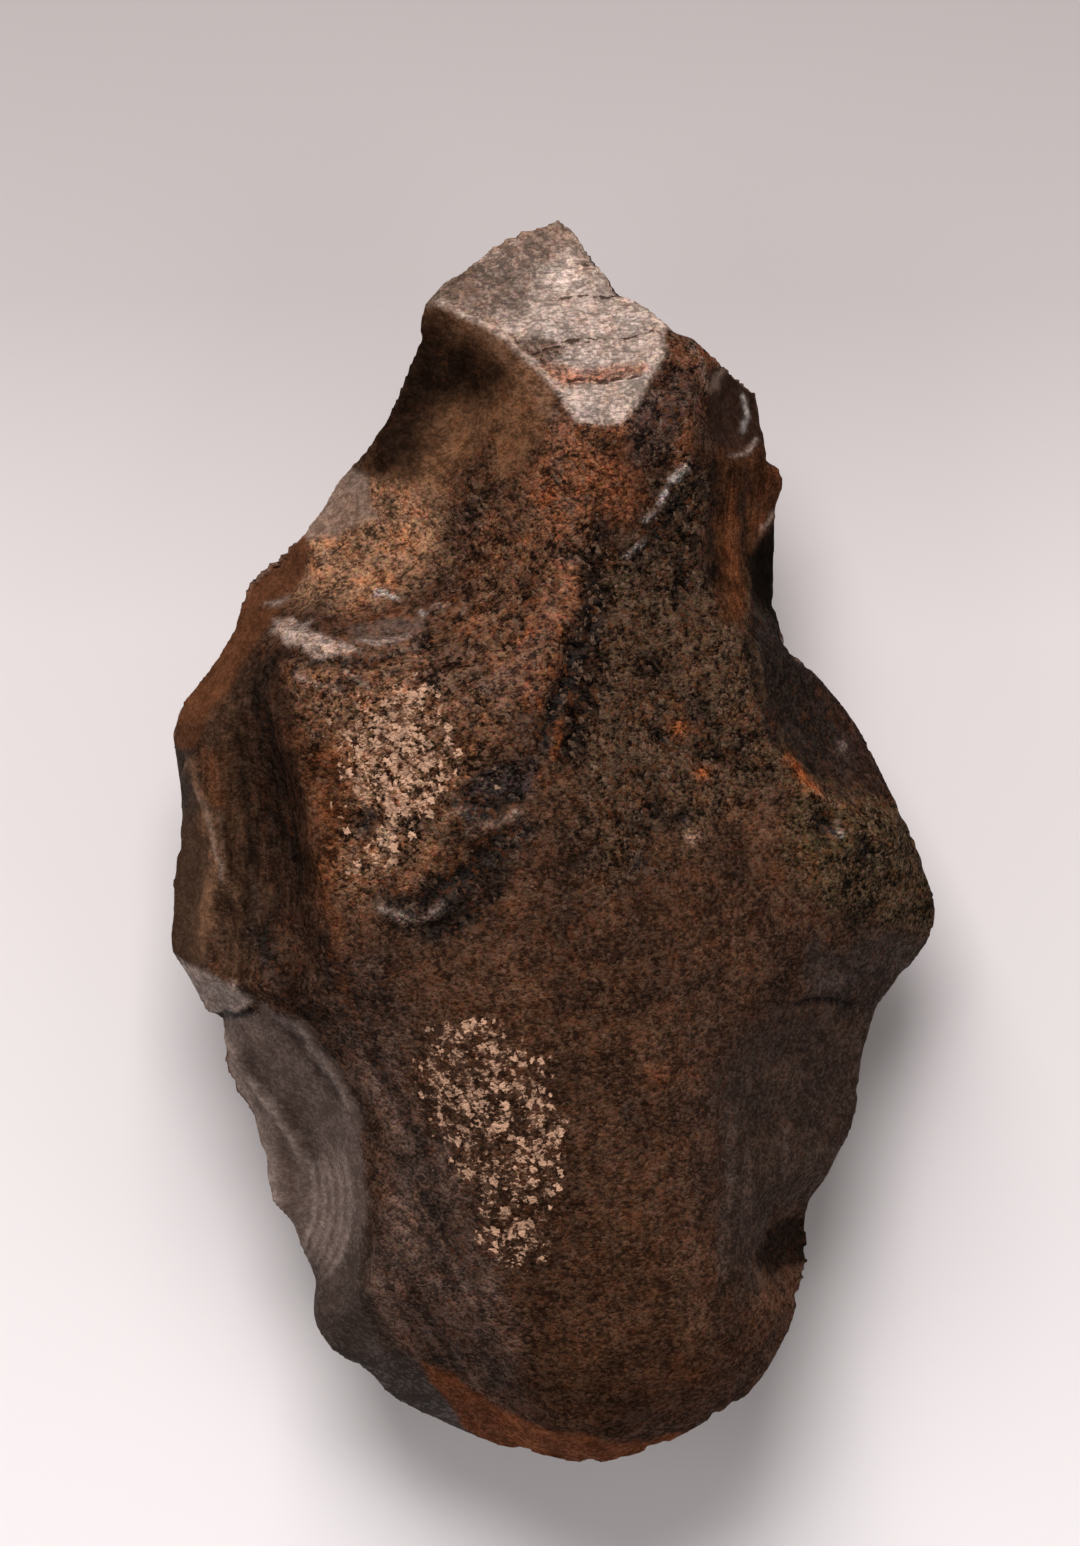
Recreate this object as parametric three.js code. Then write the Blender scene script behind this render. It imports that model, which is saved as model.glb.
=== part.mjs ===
// A stone hand axe, knapped on both faces, lying on its back face. Millimetres, +Z up.
// +Y runs from the rounded butt to the tip, and the worked front face looks up.
//
// The solid lies between two surfaces over one plan outline. Each surface is the worn skin of the
// cobble, cut down by flake scars: shallow bowls, taken off one after another as a knapper does.
// Where two bowls meet they leave a sharp ridge, and the mesh's vertices are slid onto those ridges.

import * as THREE from "three";

// ---- driving dimensions, mm ----
const THICKNESS = 52.8; // of the rough skin; the scars leave a little less
const MESH = { fine: 2.15, coarse: 4.4, band: 11 }; // vertex spacing: margin, middle, fine band's width
const SHARP_RADIUS = 1.6; // rounding of a knapped margin
const BUTT_RADIUS = 19; // rounding of the cobble's own butt
const CORNER_RADIUS = 7; // rounding of the worn corner at the right
const WEDGE = { slope: 0.55, reach: 8 }; // least opening of the margin, inwards from the outline
const WORN = 4; // a ridge rounded wider than this has no crest to follow
const MEAN_RADIUS = 66; // of the plan outline
const DEGREE = Math.PI / 180;

// ---- the plan outline, clockwise from the tip ----
// One row for each corner between two chips: x, y, and how far the stretch to the next corner
// bows outwards (a negative bow is a bite).
const OUTLINE = [
  // right margin, down to the broad corner
  [0.6, 90.0, 0.6],
  [4.8, 84.8, 0.0],
  [9.7, 78.3, 0.8],
  [17.0, 73.1, 0.4],
  [24.4, 68.2, 0.0],
  [29.3, 64.5, 0.1],
  [30.9, 55.1, 0.6],
  [33.6, 51.3, 0.0],
  [32.2, 48.3, -0.1],
  [31.9, 34.6, -1.4],
  [38.0, 24.2, 0.0],
  [44.5, 16.1, 0.2],
  [55.3, -7.0, 0.8],
  // right margin, down to the butt
  [54.6, -15.2, -0.2],
  [47.1, -24.6, -0.5],
  [44.3, -34.7, 1.1],
  [41.0, -45.6, 0.4],
  [37.1, -51.8, -0.8],
  [37.5, -59.3, 0.0],
  [35.4, -65.8, 1.0],
  // the rounded butt
  [28.3, -79.5, 0.4],
  [15.9, -87.1, 0.3],
  [5.2, -90.0, 0.0],
  [-7.8, -88.0, 0.5],
  [-23.7, -80.6, 0.0],
  [-26.9, -76.6, 0.3],
  [-32.6, -73.7, 0.8],
  // left margin, up to the notch
  [-34.9, -66.9, 0.0],
  [-34.5, -64.0, -0.2],
  [-36.7, -59.3, -1.0],
  [-41.0, -52.8, -0.3],
  [-43.9, -39.5, 0.5],
  [-47.7, -32.6, 0.0],
  [-48.2, -25.9, 0.0],
  // left margin, up to the tip
  [-50.8, -24.8, -0.5],
  [-55.7, -16.2, 0.1],
  [-55.7, -8.7, 0.0],
  [-53.9, 3.5, 0.0],
  [-55.4, 14.1, 0.7],
  [-53.7, 19.9, -0.5],
  [-46.4, 30.3, 0.0],
  [-44.9, 37.0, 0.4],
  [-40.1, 41.1, 0.0],
  [-36.0, 45.1, -0.4],
  [-31.5, 51.6, 0.0],
  [-24.1, 59.9, 0.0],
  [-19.6, 72.8, 0.5],
  [-18.6, 77.6, 0.6],
  [-11.7, 83.0, 0.5],
  [-4.6, 88.0, -0.3],
];

// ---- the worn skin of the cobble ----
const CREST = { x: 7, y: -10 }; // plan place of the thickest point
const FALL_ACROSS = 14; // how far the skin falls 50 mm to either side of the crest
const FALL_ALONG = 20; // how far it falls 90 mm along the axe
const SWELL = 0.5; // height of its low swells
const HALF_WIDTH = 50;
const HALF_LENGTH = 90;

// ---- the flat it lies on ----
const FLAT = { x: -1, y: -10, halfWidth: 21, halfLength: 36, rise: 2.3 };

// ---- flake scars, oldest first ----
// at: plan point on the scar's axis; z: the scar's height there; heading: plan direction in which
// the scar runs inwards, degrees from +X; pitch: its slope along that heading, degrees;
// along, across: radii of curvature of the bowl; soft: worn ridge's rounding.
const FRONT_SCARS = [
  // broad, worn slopes that take the cobble's skin down to the margins
  { name: "upper left slope", at: [-36, 50], z: 21, heading: -16, pitch: 27, along: 200, across: 18, soft: 4 },
  { name: "lower left slope", at: [-29.5, -55], z: 33, heading: 15, pitch: 30, along: 80, across: 90, soft: 5 },
  { name: "upper right slope", at: [22, 45], z: 36, heading: 190, pitch: 24, along: 150, across: 300, soft: 6 },
  { name: "corner slope", at: [54.5, -9], z: 24, heading: 180, pitch: 50, along: -60, across: 60, soft: 7 },
  { name: "lower right slope", at: [44, -38], z: 22, heading: 170, pitch: 50, along: -60, across: 80, soft: 7 },
  // the tip
  { name: "thumb scar", at: [-22, 64], z: 23, heading: -35, pitch: 28, along: 40, across: 13, soft: 3 },
  { name: "tip facet", at: [0.6, 90], z: 21, heading: -84, pitch: 31, along: 400, across: 160 },
  // the left margin
  { name: "grey shoulder", at: [-33, 49], z: 21, heading: -45, pitch: 40, along: 60, across: 16 },
  { name: "shoulder scar", at: [-42, 40], z: 20, heading: -15, pitch: 2, along: 5, across: 6 },
  { name: "trough", at: [-44.2, 3], z: 29, heading: -79, pitch: 0, along: 45, across: 3.4 },
  { name: "long left scar", at: [-50, 25], z: 21, heading: -38, pitch: 58, along: 200, across: 60 },
  { name: "left bevel", at: [-55.5, -6], z: 21, heading: 0, pitch: 52, along: 500, across: 300 },
  { name: "lip", at: [-49.5, -19], z: 28.5, heading: -75, pitch: 24, along: 12, across: 5 },
  { name: "ripple scar", at: [-38, -53], z: 21.5, heading: 9, pitch: 8, along: 6, across: 32 },
  { name: "margin scar upper", at: [-47.8, -30.5], z: 21, heading: 0, pitch: 48, along: 100, across: 6 },
  { name: "margin scar middle", at: [-43, -44], z: 20, heading: 10, pitch: 42, along: 100, across: 22 },
  // the butt
  { name: "butt facet", at: [-27, -77], z: 23, heading: 50, pitch: 44, along: 60, across: 100, soft: 1.5 },
  // the right margin
  { name: "right chip", at: [29, 62], z: 24, heading: 190, pitch: 36, along: 9, across: 12 },
  { name: "right flank", at: [32.8, 46], z: 21, heading: 180, pitch: 50, along: 80, across: 20 },
  { name: "black notch", at: [32.4, 39], z: 18.5, heading: 182, pitch: 67, along: 100, across: 8 },
  { name: "right hollow", at: [43.5, 17], z: 20, heading: 211, pitch: 48, along: 30, across: 20 },
  { name: "right low scar", at: [44.5, -36], z: 20, heading: 170, pitch: 44, along: 60, across: 26, soft: 3 },
  { name: "nick", at: [37, -57.5], z: 19, heading: 176, pitch: 50, along: 8, across: 5 },
];

// The back face looks down: a scar's surface falls away from its margin towards the flat underside.
const BACK_SCARS = [
  { name: "resting flat", at: [0, 0], z: 0, heading: 0, pitch: 0, along: Infinity, across: Infinity },
  { name: "back tip left", at: [-12, 83], z: 24, heading: -62, pitch: 32, along: 60, across: 30 },
  { name: "back tip right", at: [13, 75.5], z: 29, heading: 215, pitch: 46, along: 60, across: 14 },
  { name: "back upper right", at: [30, 60], z: 22, heading: 200, pitch: 32, along: 55, across: 30 },
  { name: "back right notch", at: [33, 34], z: 19, heading: 190, pitch: 31, along: 50, across: 32 },
  { name: "back right hollow", at: [47, 12], z: 19.5, heading: 215, pitch: 28, along: 50, across: 24 },
  { name: "back right corner", at: [54, -12], z: 16, heading: 170, pitch: 25, along: 60, across: 26 },
  { name: "back right", at: [44.5, -36], z: 20, heading: 165, pitch: 30, along: 60, across: 30 },
  { name: "back lower right", at: [37, -57], z: 19.5, heading: 158, pitch: 34, along: 70, across: 26 },
  { name: "back butt right", at: [26, -81], z: 15, heading: 128, pitch: 40, along: 40, across: 24, soft: 3 },
  { name: "back butt", at: [0, -89], z: 17, heading: 88, pitch: 34, along: 60, across: 30, soft: 3 },
  { name: "back lower left", at: [-33, -72], z: 21, heading: 46, pitch: 33, along: 60, across: 34 },
  { name: "back left hip", at: [-38, -58], z: 20.5, heading: 16, pitch: 36, along: 60, across: 24 },
  { name: "back left", at: [-46, -36], z: 20.5, heading: 8, pitch: 30, along: 70, across: 28 },
  { name: "back left corner", at: [-55.5, -6], z: 21.5, heading: 2, pitch: 32, along: 70, across: 36 },
  { name: "back left shoulder", at: [-50, 25], z: 21, heading: -30, pitch: 30, along: 50, across: 30 },
  { name: "back upper left", at: [-34, 48], z: 20, heading: -28, pitch: 30, along: 50, across: 34 },
  { name: "back thumb", at: [-21, 66], z: 22, heading: -20, pitch: 34, along: 50, across: 22 },
];

// ---- plan outline as a closed polyline ----

// A stretch between two corners, bowed as a shallow arc.
function stretch([x1, y1, bow], [x2, y2]) {
  const length = Math.hypot(x2 - x1, y2 - y1);
  const outward = [-(y2 - y1) / length, (x2 - x1) / length];
  const count = Math.max(1, Math.round(length / MESH.fine));
  return Array.from({ length: count }, (_, k) => {
    const t = k / count;
    const lift = 4 * bow * t * (1 - t);
    return [x1 + t * (x2 - x1) + lift * outward[0], y1 + t * (y2 - y1) + lift * outward[1]];
  });
}

const rim = OUTLINE.flatMap((corner, i) => stretch(corner, OUTLINE[(i + 1) % OUTLINE.length]));

// How far along the outline each rim point lies, as a share of the whole.
const lengths = rim.map(([x, y], i) => {
  const [nextX, nextY] = rim[(i + 1) % rim.length];
  return Math.hypot(nextX - x, nextY - y);
});
const perimeter = lengths.reduce((sum, length) => sum + length, 0);
const shares = [];
lengths.reduce((sum, length) => {
  shares.push(sum / perimeter);
  return sum + length;
}, 0);

// The outline's point at a share of its length.
function onOutline(share) {
  let i = rim.length - 1;
  while (shares[i] > share) i--;
  const t = ((share - shares[i]) * perimeter) / lengths[i];
  const [x1, y1] = rim[i];
  const [x2, y2] = rim[(i + 1) % rim.length];
  return [x1 + t * (x2 - x1), y1 + t * (y2 - y1)];
}

// Shortest plan distance from a point to the outline.
function distanceToRim(x, y) {
  return Math.min(
    ...rim.map(([x1, y1], i) => {
      const [x2, y2] = rim[(i + 1) % rim.length];
      const along = (x - x1) * (x2 - x1) + (y - y1) * (y2 - y1);
      const t = THREE.MathUtils.clamp(along / lengths[i] ** 2, 0, 1);
      return Math.hypot(x - x1 - t * (x2 - x1), y - y1 - t * (y2 - y1));
    }),
  );
}

// ---- the two surfaces ----

function skin(x, y) {
  const across = Math.abs((x - CREST.x) / HALF_WIDTH) ** 2.1;
  const along = Math.abs((y - CREST.y) / HALF_LENGTH) ** 2.1;
  const swell = Math.sin(x / 8.5 + 0.6) * Math.cos(y / 11 - 0.4) + Math.sin((x + y) / 15);
  return THICKNESS - SWELL - FALL_ACROSS * across - FALL_ALONG * along + SWELL * swell;
}

// Depth of the underside's shallow dome below the flat that is worn on it.
function underside(x, y) {
  const spread = ((x - FLAT.x) / FLAT.halfWidth) ** 2 + ((y - FLAT.y) / FLAT.halfLength) ** 2;
  return FLAT.rise * (1 - spread);
}

// Height of a scar's bowl above its lowest line, with its slope. It rises inwards.
function bowl(scar, x, y) {
  const cos = Math.cos(scar.heading * DEGREE);
  const sin = Math.sin(scar.heading * DEGREE);
  const [dx, dy] = [x - scar.at[0], y - scar.at[1]];
  const a = dx * cos + dy * sin;
  const b = dy * cos - dx * sin;
  return a * Math.tan(scar.pitch * DEGREE) + (a * a) / (2 * scar.along) + (b * b) / (2 * scar.across);
}

// The lower of two heights, with the crease between them rounded over a span of k.
function softMin(a, b, k) {
  const blend = Math.max(0, k - Math.abs(a - b)) / k;
  return Math.min(a, b) - (blend * blend * k) / 4;
}

// Height of one face and the newest scar that shows there. The front is a floor cut down by its
// scars; the back is the same thing upside down (side -1).
function face(side, scars, start, x, y) {
  let z = start;
  let owner = -1;
  scars.forEach((scar, i) => {
    const cut = side * scar.z + bowl(scar, x, y);
    if (cut < z && !(scar.soft > WORN)) owner = i;
    z = scar.soft ? softMin(z, cut, scar.soft) : Math.min(z, cut);
  });
  return { z: side * z, owner };
}

const front = (x, y) => face(1, FRONT_SCARS, skin(x, y), x, y);
const back = (x, y) => face(-1, BACK_SCARS, underside(x, y), x, y);

// Rounding radius of the margin: sharp where it is knapped, round on the butt.
function marginRadius(x, y) {
  const butt = THREE.MathUtils.smoothstep(48 - Math.hypot(x - 14, y + 80), 0, 26);
  const corner = THREE.MathUtils.smoothstep(17 - Math.hypot(x - 56, y + 11), 0, 12);
  return SHARP_RADIUS + (BUTT_RADIUS - SHARP_RADIUS) * butt + (CORNER_RADIUS - SHARP_RADIUS) * corner;
}

// Heights of both faces at a plan point, closed down to one edge at the outline.
function heights(x, y) {
  const inset = distanceToRim(x, y);
  const [top, bottom] = [front(x, y).z, back(x, y).z];
  const middle = (top + bottom) / 2;
  const radius = marginRadius(x, y);
  const t = Math.min(inset / radius, 1);
  const half = Math.max((top - bottom) / 2, WEDGE.slope * Math.min(inset, WEDGE.reach)) * Math.sqrt(1 - (1 - t) ** 2);
  return { top: middle + half, bottom: middle - half };
}

// ---- one face's mesh: shrinking copies of the outline, stitched together ----

function planRings() {
  const rings = [];
  let scale = 1;
  while (scale > 0.02) {
    const depth = (1 - scale) * MEAN_RADIUS;
    const coarseness = THREE.MathUtils.clamp((depth - MESH.band) / (MEAN_RADIUS - MESH.band), 0, 1);
    const spacing = THREE.MathUtils.lerp(MESH.fine, MESH.coarse, coarseness);
    const count = Math.max(6, Math.round((perimeter * scale) / spacing));
    const even = Array.from({ length: count }, (_, i) => (i + (rings.length % 2) / 2) / count);
    const ring = (rings.length < 2 ? shares : even).map((share) => {
      const [x, y] = onOutline(share);
      return { x: x * scale, y: y * scale, share, rim: rings.length === 0 };
    });
    rings.push(ring);
    scale -= spacing / MEAN_RADIUS;
  }
  return rings;
}

// Triangles between an outer and an inner ring, clockwise in plan.
function stitch(outer, inner, firstOuter, firstInner) {
  const triangles = [];
  const turn = (ring, i) => ring[i % ring.length].share + Math.floor(i / ring.length);
  let [i, j] = [0, 0];
  while (i < outer.length || j < inner.length) {
    const a = firstOuter + (i % outer.length);
    const b = firstInner + (j % inner.length);
    if (j >= inner.length || (i < outer.length && turn(outer, i + 1) <= turn(inner, j + 1))) {
      triangles.push([a, firstOuter + ((i + 1) % outer.length), b]);
      i++;
    } else {
      triangles.push([a, firstInner + ((j + 1) % inner.length), b]);
      j++;
    }
  }
  return triangles;
}

function planMesh() {
  const rings = planRings();
  const points = rings.flat();
  const triangles = [];
  let first = 0;
  rings.slice(1).forEach((inner, k) => {
    triangles.push(...stitch(rings[k], inner, first, first + rings[k].length));
    first += rings[k].length;
  });
  points.push({ x: 0, y: 0, rim: false });
  const last = rings.at(-1);
  last.forEach((_, i) => triangles.push([first + i, first + ((i + 1) % last.length), points.length - 1]));
  return { points, triangles };
}

// Twice a plan triangle's area, positive when it runs clockwise.
function clockwiseArea(points, [a, b, c]) {
  const [p, q, r] = [points[a], points[b], points[c]];
  return (r.x - p.x) * (q.y - p.y) - (q.x - p.x) * (r.y - p.y);
}

// Slides each vertex that has a ridge within half an edge onto that ridge.
function slideOntoRidges({ points, triangles }, surface) {
  const owners = points.map(({ x, y }) => surface(x, y).owner);
  const target = points.map(() => null);
  const offer = (i, share, x, y) => {
    if (!points[i].rim && share < 0.5 && (!target[i] || share < target[i].share)) target[i] = { share, x, y };
  };
  const crossing = (a, b) => {
    let [low, high] = [0, 1];
    const mix = (t) => [points[a].x + t * (points[b].x - points[a].x), points[a].y + t * (points[b].y - points[a].y)];
    for (let k = 0; k < 12; k++) {
      const t = (low + high) / 2;
      if (surface(...mix(t)).owner === owners[a]) low = t;
      else high = t;
    }
    const [x, y] = mix(low);
    offer(a, low, x, y);
    offer(b, 1 - low, x, y);
  };
  triangles.forEach((corners) => {
    corners.forEach((a, k) => {
      const b = corners[(k + 1) % 3];
      if (a < b && owners[a] !== owners[b]) crossing(a, b);
    });
  });
  const moved = points.map((point, i) => (target[i] ? { ...point, x: target[i].x, y: target[i].y } : point));
  const LEAST = 0.2; // share of a triangle's area that has to be left
  let crushed = true;
  while (crushed) {
    crushed = false;
    triangles.forEach((corners) => {
      if (clockwiseArea(moved, corners) > LEAST * clockwiseArea(points, corners)) return;
      corners.forEach((i) => {
        if (moved[i] !== points[i]) [moved[i], crushed] = [points[i], true];
      });
    });
  }
  return moved;
}

// ---- the solid ----

function handAxe() {
  const plan = planMesh();
  const [lowX, highX] = [Math.min(...rim.map((p) => p[0])), Math.max(...rim.map((p) => p[0]))];
  const [lowY, highY] = [Math.min(...rim.map((p) => p[1])), Math.max(...rim.map((p) => p[1]))];
  const positions = [];
  const place = (x, y, z) => positions.push(x - (lowX + highX) / 2, y - (lowY + highY) / 2, z);

  const frontPoints = slideOntoRidges(plan, front);
  frontPoints.forEach(({ x, y }) => place(x, y, heights(x, y).top));
  const offset = rim.length; // the rim's vertices are shared, so the back face's own ones follow
  slideOntoRidges(plan, back)
    .slice(offset)
    .forEach(({ x, y }) => place(x, y, heights(x, y).bottom));
  const behind = (i) => (i < offset ? i : i - offset + frontPoints.length);

  const index = [];
  plan.triangles.forEach(([a, b, c]) => {
    index.push(a, c, b);
    index.push(behind(a), behind(b), behind(c));
  });
  const geometry = new THREE.BufferGeometry();
  geometry.setAttribute("position", new THREE.Float32BufferAttribute(positions, 3));
  geometry.setIndex(index);
  geometry.computeVertexNormals();
  const stone = new THREE.MeshStandardMaterial({ color: 0x5b4030, roughness: 0.8, metalness: 0 });
  const mesh = new THREE.Mesh(geometry, stone);
  mesh.name = "hand_axe";
  return mesh;
}

const part = new THREE.Group();
part.add(handAxe());

export default part;
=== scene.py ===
"""A stone hand axe, knapped on both faces, lying on a pale table with its worked face up.

The stone is one piece. It starts as the solid's own form, resurfaced, and then gets the relief that
the solid leaves out: sand grain, pits, ripples, cracks and grooves. Its colours are laid on by area.
Lengths on the stone are in millimetres, with +Y towards the tip, +X to the right of the worked face
and +Z up out of it. The table, the lights and the camera are placed in metres.
"""

import functools
import itertools
import math
from collections import namedtuple

import bpy
import numpy as np
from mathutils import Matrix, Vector


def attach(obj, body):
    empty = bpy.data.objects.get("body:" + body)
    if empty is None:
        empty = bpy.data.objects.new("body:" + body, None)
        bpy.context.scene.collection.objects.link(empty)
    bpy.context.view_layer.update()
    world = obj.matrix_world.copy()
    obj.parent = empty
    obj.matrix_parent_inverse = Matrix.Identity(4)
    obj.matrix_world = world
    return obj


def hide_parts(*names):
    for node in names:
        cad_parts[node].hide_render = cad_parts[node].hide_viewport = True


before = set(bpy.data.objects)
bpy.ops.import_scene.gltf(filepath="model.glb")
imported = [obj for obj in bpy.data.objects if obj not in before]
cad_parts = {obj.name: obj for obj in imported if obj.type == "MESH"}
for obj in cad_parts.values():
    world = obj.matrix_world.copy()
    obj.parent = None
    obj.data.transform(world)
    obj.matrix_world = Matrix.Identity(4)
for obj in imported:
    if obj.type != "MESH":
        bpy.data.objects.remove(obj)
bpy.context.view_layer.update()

MM = 0.001
VOXEL = 0.58
BACK_SHARE = 0.3
BACK_FACING = -0.25
RIDGE_ANGLE = 24
RIDGE_CREASE = 0.9
PIT_SHARE = 0.25
TOOTH_DEPTH = 0.3

# ------------------------ the stone's colours

# Red, green and blue from 0 to 255, as the eye sees them in even light; a few are painted light and shade.
TONES = {
    "brown skin": (59, 39, 28),
    "grey brown": (67, 50, 37),
    "warm brown": (80, 53, 37),
    "red brown": (78, 47, 31),
    "olive": (60, 46, 30),
    "tan": (124, 88, 64),
    "deep tan": (87, 58, 39),
    "shaded brown": (23, 14, 9),
    "orange brown": (74, 43, 25),
    "rust": (100, 56, 32),
    "bright rust": (140, 74, 38),
    "dark brown": (42, 27, 20),
    "trough brown": (61, 42, 30),
    "black brown": (30, 22, 17),
    "near black": (22, 17, 14),
    "blue black": (44, 37, 35),
    "dull grey": (51, 40, 34),
    "warm grey": (106, 82, 68),
    "dark orange": (60, 35, 20),
    "scar grey": (82, 65, 58),
    "fresh grey": (160, 138, 126),
    "grey pink": (112, 91, 79),
    "pale grey": (128, 110, 101),
    # a painted highlight: glints and lit rims
    "painted glint": (170, 158, 152),
    "crystal": (180, 140, 115),
    "back brown": (72, 51, 37),
    "back scar": (84, 67, 57),
}

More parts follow.
